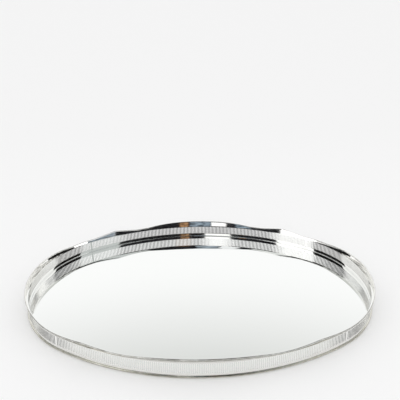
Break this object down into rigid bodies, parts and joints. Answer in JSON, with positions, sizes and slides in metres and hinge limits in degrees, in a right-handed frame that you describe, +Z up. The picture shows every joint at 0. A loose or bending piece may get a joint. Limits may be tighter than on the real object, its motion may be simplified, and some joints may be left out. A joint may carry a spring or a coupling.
{
  "type": "oval gallery tray",
  "caption": "Oval silver-plated gallery tray: flat polished floor inside an upright slotted gallery, with a shaped border that leans outwards and a half-round wire at the foot",
  "frame": {"origin": "under the middle of the floor, on the surface that the tray stands on", "axes": "+X along the tray's length, +Y across it towards the back, +Z up out of the floor"},
  "size_m": [0.5598, 0.3718, 0.0336],
  "materials": {
    "floor_silver": "mirror polished silver plate with fine rubbing marks",
    "wire_silver": "polished silver plate, a little dull in the foot",
    "gallery_silver": "polished silver plate, slightly toned in the slots",
    "border_silver": "polished silver plate"
  },
  "bodies": {
    "root": {"floor_plate": "floor_silver", "base_wire": "wire_silver", "gallery_front": "gallery_silver", "gallery_back": "gallery_silver", "gallery_left": "gallery_silver", "gallery_right": "gallery_silver", "border_front": "border_silver", "border_back": "border_silver", "border_left": "border_silver", "border_right": "border_silver"}
  },
  "joints": []
}
